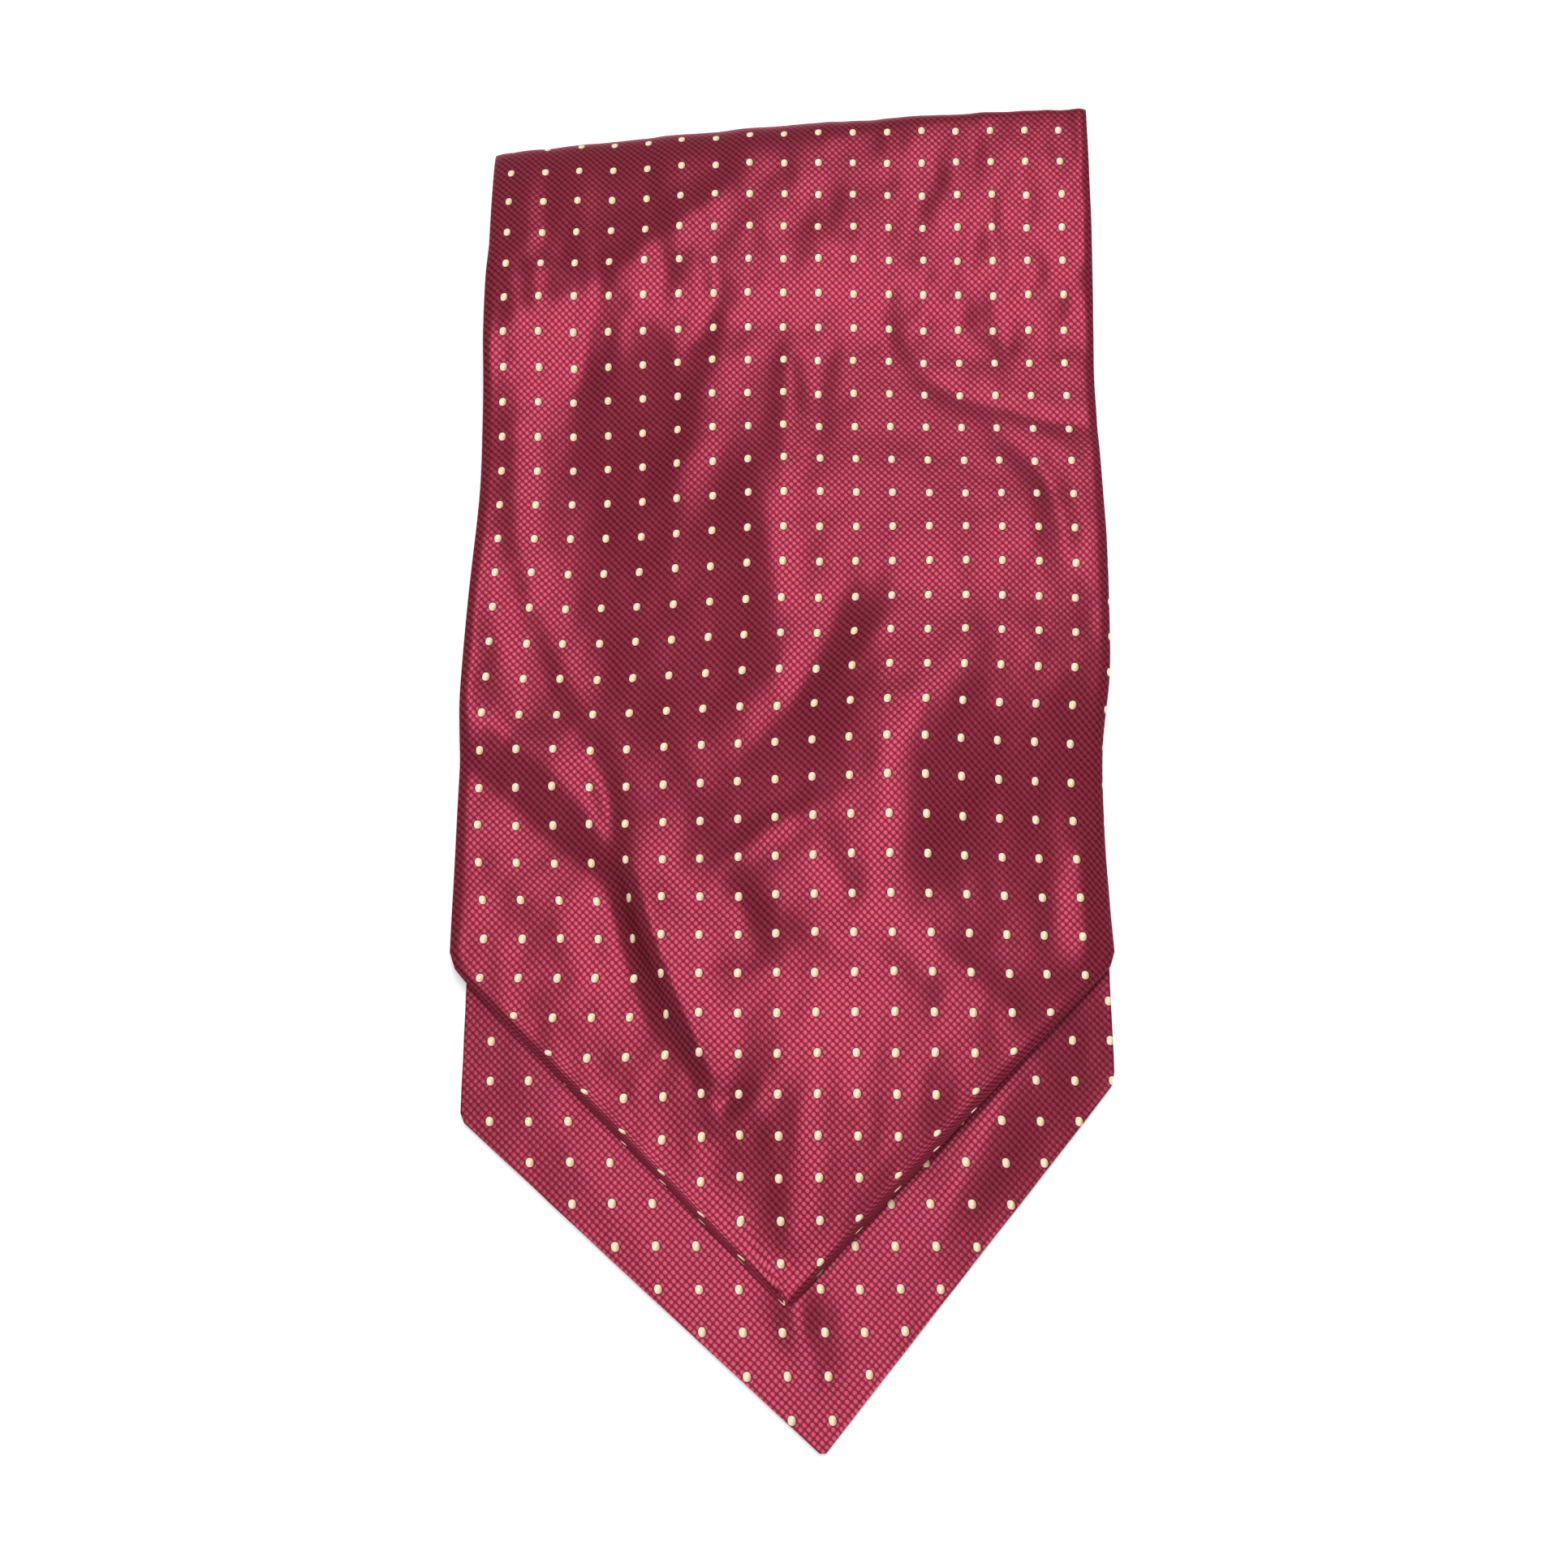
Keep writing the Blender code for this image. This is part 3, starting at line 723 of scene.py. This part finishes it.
def dots_group():
    """Masks of the dots, of their rim of painted shade and of their painted shade side, and their
    height.
    """
    group, given, result = node_group(
        "Cream dots",
        [("Across", "NodeSocketFloat", 0.0), ("Along", "NodeSocketFloat", 0.0),
         ("Half width", "NodeSocketFloat", 0.10), ("Half height", "NodeSocketFloat", 0.116)],
        [("Dot", "NodeSocketFloat", None), ("Painted rim shade", "NodeSocketFloat", None),
         ("Height", "NodeSocketFloat", None), ("Painted shade side", "NodeSocketFloat", None)])
    parts = []
    shares = []
    for place, half in (("Across", "Half width"), ("Along", "Half height")):
        nearest = maths(group, "ROUND", given.outputs[place])
        off = maths(group, "SUBTRACT", given.outputs[place], nearest)
        share = maths(group, "DIVIDE", off, given.outputs[half])
        shares.append(share)
        parts.append(maths(group, "POWER", maths(group, "ABSOLUTE", share), DOT_SQUARENESS))
    slant = maths(group, "MULTIPLY_ADD", shares[1], DOT_SLANT, shares[0])
    # painted shade: this side of each dot is the one away from the light
    group.links.new(ramp(group, slant, -0.3, 1.1), result.inputs["Painted shade side"])
    radius = maths(group, "POWER", maths(group, "ADD", *parts), 1 / DOT_SQUARENESS)
    group.links.new(ramp(group, radius, 0.86, 1.04, 1.0, 0.0), result.inputs["Dot"])
    rise = ramp(group, radius, 0.98, 1.12)
    fall = ramp(group, radius, 1.12, 1.45, 1.0, 0.0)
    group.links.new(maths(group, "MULTIPLY", rise, fall), result.inputs["Painted rim shade"])
    group.links.new(ramp(group, radius, 0.35, 1.15, 1.0, 0.0), result.inputs["Height"])
    return group


CREAM_DOTS = dots_group()

# %% [markdown]
# Dyed silk is deep in colour, and its shine has the colour of the thread. That is a
# partly metallic surface here, more so on the floats, which are long smooth threads, than
# on the twisted ground. The dots are dull. They stand up about a fifth of a millimetre,
# and the figure and the threads a few hundredths.

# %% Colours and shine of the silk
GROUND = (0.071, 0.0030, 0.0056, 1.0)
FLOATS = (0.228, 0.030, 0.053, 1.0)
THREAD = (0.260, 0.034, 0.056, 1.0)
THREAD_SHARE = 0.45
CREAM = (0.780, 0.650, 0.460, 1.0)
# painted shade: the tan of each dot's far side, away from the light
CREAM_PAINTED_SHADE = (0.420, 0.270, 0.130, 1.0)
# painted shade: the dark rim round each dot, where it sinks in
DOT_RIM_PAINTED_SHADE = (0.045, 0.004, 0.006, 1.0)
GROUND_GLOSS = 0.35
FLOAT_GLOSS = 0.46
GROUND_ROUGHNESS = 0.38
FLOAT_ROUGHNESS = 0.30
DOT_ROUGHNESS = 0.5
WANDER_SCALE = 60.0
WANDER = 0.0008
CLOUD_SCALE = 25.0
THREAD_SCALE = 2200.0
DOT_THREAD_SCALE = 1500.0
FIGURE_RELIEF = 0.05
DOT_RELIEF = 0.32
THREAD_RELIEF = 0.03
RELIEF_STRENGTH = 0.7


def tinted(colour, factor):
    """A colour made darker or lighter, with its alpha kept at one."""
    return tuple(factor * channel for channel in colour[:3]) + (1.0,)


# %% [markdown]
# Both groups are drawn in the cloth's own lengths, counted in dots. The figure repeats a
# few times for each dot, so that the dots always sit on the same threads.

# %% Places of the pattern
def dot_places(tree, uv, phases):
    """Places across and along the cloth, counted in dots, with the grid's wandering."""
    wander = tree.nodes.new("ShaderNodeTexNoise")
    wander.inputs["Scale"].default_value = WANDER_SCALE
    wander.inputs["Detail"].default_value = 1.0
    tree.links.new(uv, wander.inputs["Vector"])
    sway = tree.nodes.new("ShaderNodeVectorMath")
    sway.operation = "MULTIPLY_ADD"
    sway.inputs[1].default_value = (WANDER, WANDER, 0.0)
    tree.links.new(wander.outputs["Color"], sway.inputs[0])
    tree.links.new(uv, sway.inputs[2])
    split = tree.nodes.new("ShaderNodeSeparateXYZ")
    tree.links.new(sway.outputs["Vector"], split.inputs["Vector"])
    places = []
    for axis, pitch, phase in zip("XY", (DOT_PITCH_ACROSS, DOT_PITCH_ALONG), phases):
        scaled = maths(tree, "DIVIDE", split.outputs[axis], pitch * MM)
        places.append(maths(tree, "ADD", scaled, phase))
    return places


def pattern(tree, group, places, repeats):
    """One of the pattern's groups, with a number of repeats for each dot."""
    node = tree.nodes.new("ShaderNodeGroup")
    node.node_tree = group
    for name, place in zip(("Across", "Along"), places):
        tree.links.new(maths(tree, "MULTIPLY", place, repeats), node.inputs[name])
    return node.outputs


# %% [markdown]
# The colour is built as the cloth is: ground, binding thread, floats and then dots. Fine
# noise is the unevenness of single threads, and broad noise that of the dye.

# %% Colour, relief and shine
def woven_colour(tree, uv, figure, fine, lower_painted_shade):
    """Colour of the cloth between the dots, with the slow change of its dye from place to place and
    painted shade for lower or hidden silk.
    """
    ground = mixed(tree, ramp(tree, fine, 0.3, 0.7), GROUND, tinted(GROUND, 1.5))
    binding = maths(tree, "MULTIPLY", figure["Thread"], THREAD_SHARE)
    ground = mixed(tree, binding, ground, THREAD)
    floats = mixed(tree, ramp(tree, fine, 0.25, 0.75), tinted(FLOATS, 0.8), FLOATS)
    # broad noise of the dye, lowered by painted shade where the silk lies lower or hidden
    dye_and_painted_shade = ramp(tree, noise(tree, uv, CLOUD_SCALE), 0.2, 0.8, 0.92 - lower_painted_shade, 1.0 - lower_painted_shade)
    shaded = tree.nodes.new("ShaderNodeVectorMath")
    shaded.operation = "SCALE"
    tree.links.new(mixed(tree, figure["Float"], ground, floats), shaded.inputs[0])
    tree.links.new(dye_and_painted_shade, shaded.inputs["Scale"])
    return shaded.outputs["Vector"]


def dotted_colour(tree, uv, cloth, dots):
    """The cloth's colour with its cream dots, their painted rim shade and the painted tan shade of
    their far side.
    """
    # painted shade: the rim is darkest on the far side of each dot
    rim_shade_share = maths(tree, "MULTIPLY_ADD", dots["Painted shade side"], 0.6, 0.3)
    with_rim_shade = mixed(tree, maths(tree, "MULTIPLY", dots["Painted rim shade"], rim_shade_share), cloth, DOT_RIM_PAINTED_SHADE)
    thread = noise(tree, uv, DOT_THREAD_SCALE, 1.0)
    cream = mixed(tree, ramp(tree, thread, 0.3, 0.7), tinted(CREAM, 0.85), CREAM)
    cream = mixed(tree, dots["Painted shade side"], cream, CREAM_PAINTED_SHADE)
    return mixed(tree, dots["Dot"], with_rim_shade, cream)


def relief_normal(tree, figure, dots, fine):
    """Normal of the raised figure, dots and threads."""
    relief = maths(tree, "MULTIPLY", figure["Height"], FIGURE_RELIEF)
    relief = maths(tree, "MULTIPLY_ADD", dots["Height"], DOT_RELIEF, relief)
    relief = maths(tree, "MULTIPLY_ADD", fine, THREAD_RELIEF, relief)
    bump = tree.nodes.new("ShaderNodeBump")
    bump.inputs["Strength"].default_value = RELIEF_STRENGTH
    bump.inputs["Distance"].default_value = MM
    tree.links.new(relief, bump.inputs["Height"])
    return bump.outputs["Normal"]


def add_shine(tree, shader, figure, dots):
    """The shine of the ground and of the floats, and the dull dots."""
    plain = maths(tree, "SUBTRACT", 1.0, dots["Dot"])
    gloss = ramp(tree, figure["Float"], 0.0, 1.0, GROUND_GLOSS, FLOAT_GLOSS)
    tree.links.new(maths(tree, "MULTIPLY", gloss, plain), shader.inputs["Metallic"])
    satin = ramp(tree, figure["Float"], 0.0, 1.0, GROUND_ROUGHNESS, FLOAT_ROUGHNESS)
    dull = ramp(tree, dots["Dot"], 0.0, 1.0, satin, DOT_ROUGHNESS)
    tree.links.new(dull, shader.inputs["Roughness"])
    shader.inputs["Specular IOR Level"].default_value = 0.3
    shader.inputs["Specular Tint"].default_value = (1.0, 0.22, 0.48, 1.0)
    shader.inputs["Sheen Weight"].default_value = 0.02
    shader.inputs["Sheen Roughness"].default_value = 0.4
    shader.inputs["Sheen Tint"].default_value = (0.8, 0.25, 0.35, 1.0)


# %% [markdown]
# One function makes the silk for each piece, as all are cut from the same cloth. The
# phase of the dots against the point of the blade differs, as on any two cuts. Silk that
# lies lower or hidden is given a slightly darker painted shade, as less light reaches it.

# %% Silk
def silk(name, phase_across, phase_along, lower_painted_shade=0.0):
    """Burgundy silk with its woven figure and cream dots, in the cloth's own UV map."""
    material = bpy.data.materials.new(name)
    material.use_nodes = True
    tree = material.node_tree
    shader = tree.nodes["Principled BSDF"]
    cloth_map = tree.nodes.new("ShaderNodeUVMap")
    cloth_map.uv_map = "Cloth"
    uv = cloth_map.outputs["UV"]
    places = dot_places(tree, uv, (phase_across, phase_along))
    figure = pattern(tree, WOVEN_FIGURE, places, FIGURES_PER_DOT)
    dots = pattern(tree, CREAM_DOTS, places, 1)
    fine = noise(tree, uv, THREAD_SCALE, 1.0)
    cloth = woven_colour(tree, uv, figure, fine, lower_painted_shade)
    tree.links.new(dotted_colour(tree, uv, cloth, dots), shader.inputs["Base Color"])
    tree.links.new(relief_normal(tree, figure, dots, fine), shader.inputs["Normal"])
    add_shine(tree, shader, figure, dots)
    return material


# %% [markdown]
# These steps finish a surface as soft cloth: it crumples a little, it rolls down to the
# pressed seam at its edges, where the columns are closer, and it goes on past the turn.

# %% Edges, return and crumple
COLUMNS = 121
EDGE_CLOSENESS = 0.3
TURN_STEPS = 24
RETURN_STEPS = 12
CRUMPLE_ACROSS = 10.0
CRUMPLE_ALONG = 15.0
CRUMPLE_SMALL_SCALE = 2.3
CRUMPLE_SMALL_SHARE = 0.45
CRUMPLE_GATHER = 1.7
GATHER_START = 80
GATHER_RUN = 40
EDGE_DROP = 0.9
EDGE_WIDTH = 2.6


def close_columns(count):
    """Column positions from -1 at the left edge to +1 at the right, closer at the edges."""
    even = np.linspace(-1.0, 1.0, count)
    return (1 + EDGE_CLOSENESS) * even - EDGE_CLOSENESS * even ** 3


def roll_edges(table, columns, drop, width):
    """Rolls the last millimetres of the cloth down at its two long edges."""
    half = (table[:, -1:, 0] - table[:, :1, 0]) / 2
    inward = half * (1 - np.abs(columns))
    share = np.clip(1 - inward / width, 0, 1)
    table[..., 2] -= drop * share ** 2


def return_rows(edge, length):
    """Rows of the part past the turn, from its end up to where it leaves the turn."""
    rows = []
    for step in range(RETURN_STEPS):
        row = edge.copy()
        row[:, 1] -= length * (1 - step / RETURN_STEPS)
        rows.append(row)
    return rows


def crumple(table, strength, seed):
    """The small unevenness of soft silk, longer along the blade than across. It is
    stronger near the folded end, where the cloth is gathered."""
    for row in table:
        for point in row:
            near = Vector((point[0] / CRUMPLE_ACROSS, point[1] / CRUMPLE_ALONG, seed))
            broad = smooth_noise.noise(near)
            small = smooth_noise.noise(near * CRUMPLE_SMALL_SCALE)
            gathered = 1 + CRUMPLE_GATHER * min(max((point[1] - GATHER_START) / GATHER_RUN, 0), 1)
            point[2] += strength * gathered * (broad + CRUMPLE_SMALL_SHARE * small)


columns = close_columns(COLUMNS)

# %% [markdown]
# The front blade comes first, as most of what is seen is its silk. Its rows run from the
# end of the return below, round the folded end and down to its point.

# %% Front blade
FRONT_ROWS = (176, (4, 4), 66)
FRONT_CRUMPLE = 0.28
FRONT_CRUMPLE_SEED = 3.7
surface = front_surface(columns, *FRONT_ROWS)
crumple(surface, FRONT_CRUMPLE, FRONT_CRUMPLE_SEED)
roll_edges(surface, columns, EDGE_DROP, EDGE_WIDTH)
front_depth = turn_depth(columns, TURN_FADE)
front_turn = turned_edge(surface[0], front_depth, FRONT_RETURN_BOTTOM, TURN_STEPS)[::-1]
front_return = return_rows(front_turn[0], FRONT_RETURN_LENGTH)
front_table = np.array(front_return + front_turn + list(surface))
turned_rows = TURN_STEPS + RETURN_STEPS
front_lengths = cloth_lengths(front_table, turned_rows, turned_rows + FRONT_ROWS[0])
front_silk = silk("front silk", 0.10, -0.11)
front_blade = cloth_piece("front_blade_silk", front_table, front_lengths, WALL, ROUND_OUT, front_silk)

# %% [markdown]
# The back blade lies flat on the table under it. Only its point shows, with a soft rise
# on each side. At the folded end it turns back over itself into the narrow part that
# becomes the neckband. It is less crumpled, and its underside never goes below the table.

# %% Back blade
BACK_STATIONS = (24, 40, 60, 3, 46)
BACK_CRUMPLE = 0.16
BACK_CRUMPLE_SEED = 9.1
start = flat_rows(BACK_SECTIONS[:1])
back_rows = np.vstack([start, straight_sections(BACK_SECTIONS, BACK_STATIONS)])
back_surface = spread(back_rows, columns)
for fold in BACK_FOLDS:
    back_surface[..., 2] += fold_height(fold, back_surface[..., 0], back_surface[..., 1])
crumple(back_surface, BACK_CRUMPLE, BACK_CRUMPLE_SEED)
back_surface[..., 2] = np.maximum(back_surface[..., 2], WALL)
crest = back_surface[0].copy()
crest[:, 2] = BACK_TURN_TOP
back_turn = turned_edge(crest, BACK_TURN_DEPTH, 0.0, TURN_STEPS)
lower = back_surface - np.array([0.0, 0.0, WALL])
back_return = return_rows(crest, BACK_RETURN_LENGTH)
back_table = np.array(back_return + [crest] + back_turn[:-1] + list(lower))
back_turned = RETURN_STEPS + TURN_STEPS
back_lengths = cloth_lengths(back_table, back_turned, back_turned + sum(BACK_STATIONS[:3]))
# the back blade lies lower, so its silk gets painted shade
back_silk = silk("back silk", -0.365, 0.39, 0.1)
back_blade = cloth_piece("back_blade_silk", back_table, back_lengths, WALL, ROUND_OUT, back_silk)

# %% [markdown]
# Between the blades lies the neckband with the narrowing ends of both, folded in layers.
# It is hidden but for its rounded edges at the two sides, so it is one bundle that fills
# the space under the front blade, with a bulge for each layer's edge.

# %% Folded neckband
BAND_LAYERS = 3
BULGE_STEPS = 8
BAND_GROOVE = 1.5
BULGE_SHAPE = 0.7
BAND_MARGIN = 9
BAND_COLUMNS = slice(BAND_MARGIN, COLUMNS - BAND_MARGIN)
BAND_STATIONS = slice(4, 196, 3)


def layered_side(top, bottom, direction):
    """Side of the bundle from top to bottom: each layer's edge is a round bulge."""
    count = BAND_LAYERS * BULGE_STEPS
    points = []
    for step in range(1, count):
        point = top + (bottom - top) * step / count
        bulge = abs(math.sin(math.pi * step / BULGE_STEPS))
        point[0] += direction * BAND_GROOVE * (bulge ** BULGE_SHAPE - 0.5)
        points.append(point)
    return points


def bundle_piece(name, top, bottom, material):
    """A closed bundle of layers: a grid bent round into a tube, its two ends filled."""
    rings = []
    for high, low in zip(top, bottom):
        right = layered_side(high[-1], low[-1], 1)
        left = layered_side(high[0], low[0], -1)
        rings.append(list(high) + right + list(low[::-1]) + left[::-1] + [high[0]])
    table = np.array(rings)
    rows, columns = table.shape[:2]
    bundle = bmesh.new()
    cloth_map = bundle.loops.layers.uv.new("Cloth")
    bmesh.ops.create_grid(bundle, x_segments=columns - 1, y_segments=rows - 1, size=1.0)
    steps = np.linalg.norm(np.diff(table, axis=1), axis=2)
    round_it = np.concatenate([np.zeros((rows, 1)), np.cumsum(steps, axis=1)], axis=1)
    places = grid_places(bundle, rows, columns)
    for face in bundle.faces:
        for loop in face.loops:
            place = places[loop.vert.index]
            loop[cloth_map].uv = (round_it[place] * MM, table[place][1] * MM)
    for vert, place in zip(bundle.verts, places):
        x, y, z = table[place]
        vert.co = Vector((x, y + CENTRE_Y, z)) * MM
    bmesh.ops.remove_doubles(bundle, verts=bundle.verts, dist=0.01 * MM)
    bmesh.ops.holes_fill(bundle, edges=[edge for edge in bundle.edges if edge.is_boundary])
    bmesh.ops.recalc_face_normals(bundle, faces=bundle.faces)
    return finished(name, bundle, material)


# the hidden neckband's silk gets more painted shade
hidden_silk = silk("hidden silk", 0.0, 0.0, 0.15)
band_top = surface[BAND_STATIONS, BAND_COLUMNS].copy()
band_top[..., 2] -= WALL + GAP
return_end = surface[0, BAND_COLUMNS, 1].min() - FRONT_RETURN_LENGTH
over_return = (band_top[..., 1].max(axis=1) > return_end)[:, None]
band_bottom = band_top.copy()
band_bottom[..., 2] = np.where(over_return, FRONT_RETURN_BOTTOM + WALL + GAP, WALL + GAP)
band_top[..., 2] = np.maximum(band_top[..., 2], band_bottom[..., 2] + BAND_LEAST_HEIGHT)
neckband = bundle_piece("folded_neckband_silk", band_top, band_bottom, hidden_silk)

# %% [markdown]
# Each piece rides on the one body and stands in for its plain solid, which is hidden.

# %% Frame declarations
for piece in (front_blade, back_blade, neckband):
    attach(piece, "root")
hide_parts("front_blade")
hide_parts("back_blade")
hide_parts("folded_neckband")

# %% [markdown]
# The cravat lies on a plain pale floor.

# %% Floor
FLOOR_SIZE = 3.0
FLOOR_PALE = (0.86, 0.86, 0.86, 1.0)
floor_mesh = bpy.data.meshes.new("pale floor")
floor_cut = bmesh.new()
bmesh.ops.create_grid(floor_cut, x_segments=1, y_segments=1, size=FLOOR_SIZE)
floor_cut.to_mesh(floor_mesh)
floor_cut.free()
floor = bpy.data.objects.new("pale floor", floor_mesh)
bpy.context.scene.collection.objects.link(floor)
floor_material = bpy.data.materials.new("pale floor")
floor_material.use_nodes = True
floor_shader = floor_material.node_tree.nodes["Principled BSDF"]
floor_shader.inputs["Base Color"].default_value = FLOOR_PALE
floor_shader.inputs["Roughness"].default_value = 0.9
floor_shader.inputs["Specular IOR Level"].default_value = 0.1
floor_mesh.materials.append(floor_material)

# %% [markdown]
# The key light is a long, narrow softbox overhead, nearly along the cravat: cloth that is
# level from side to side is bright and cloth that leans either way is dark. The rest is
# an even white fill.

# %% Light
FILL = 0.58
KEY_WIDTH = 0.36
KEY_LENGTH = 1.48
KEY_POWER = 15.6
KEY_PLACE = (0.035, 0.15, 1.1)
KEY_TURN = math.radians(-16)
bpy.context.scene.view_settings.view_transform = "Standard"
world = bpy.data.worlds.new("studio")
bpy.context.scene.world = world
world.use_nodes = True
world.node_tree.nodes["Background"].inputs["Color"].default_value = (1.0, 1.0, 1.0, 1.0)
world.node_tree.nodes["Background"].inputs["Strength"].default_value = FILL

key_data = bpy.data.lights.new("overhead strip", "AREA")
key_data.shape = "RECTANGLE"
key_data.size = KEY_WIDTH
key_data.size_y = KEY_LENGTH
key_data.energy = KEY_POWER
key = bpy.data.objects.new("overhead strip", key_data)
key.location = KEY_PLACE
key.rotation_euler = (0.0, 0.0, KEY_TURN)
bpy.context.scene.collection.objects.link(key)

# %% [markdown]
# The camera looks down at 18 degrees from upright, as the rows of dots show: they are
# closer at the far end.

# %% Camera
CAMERA_DISTANCE = 480 * MM
CAMERA_TILT = math.radians(18)
LOOK_AT = Vector((-0.7, -15.5 + CENTRE_Y, 0.0)) * MM
camera_data = bpy.data.cameras.new("camera")
camera_data.lens = 45.0
camera_data.sensor_width = 36.0
camera = bpy.data.objects.new("camera", camera_data)
back_off = Vector((0.0, -math.sin(CAMERA_TILT), math.cos(CAMERA_TILT)))
camera.location = LOOK_AT + CAMERA_DISTANCE * back_off
camera.rotation_euler = (CAMERA_TILT, 0.0, 0.0)
bpy.context.scene.collection.objects.link(camera)
bpy.context.scene.camera = camera
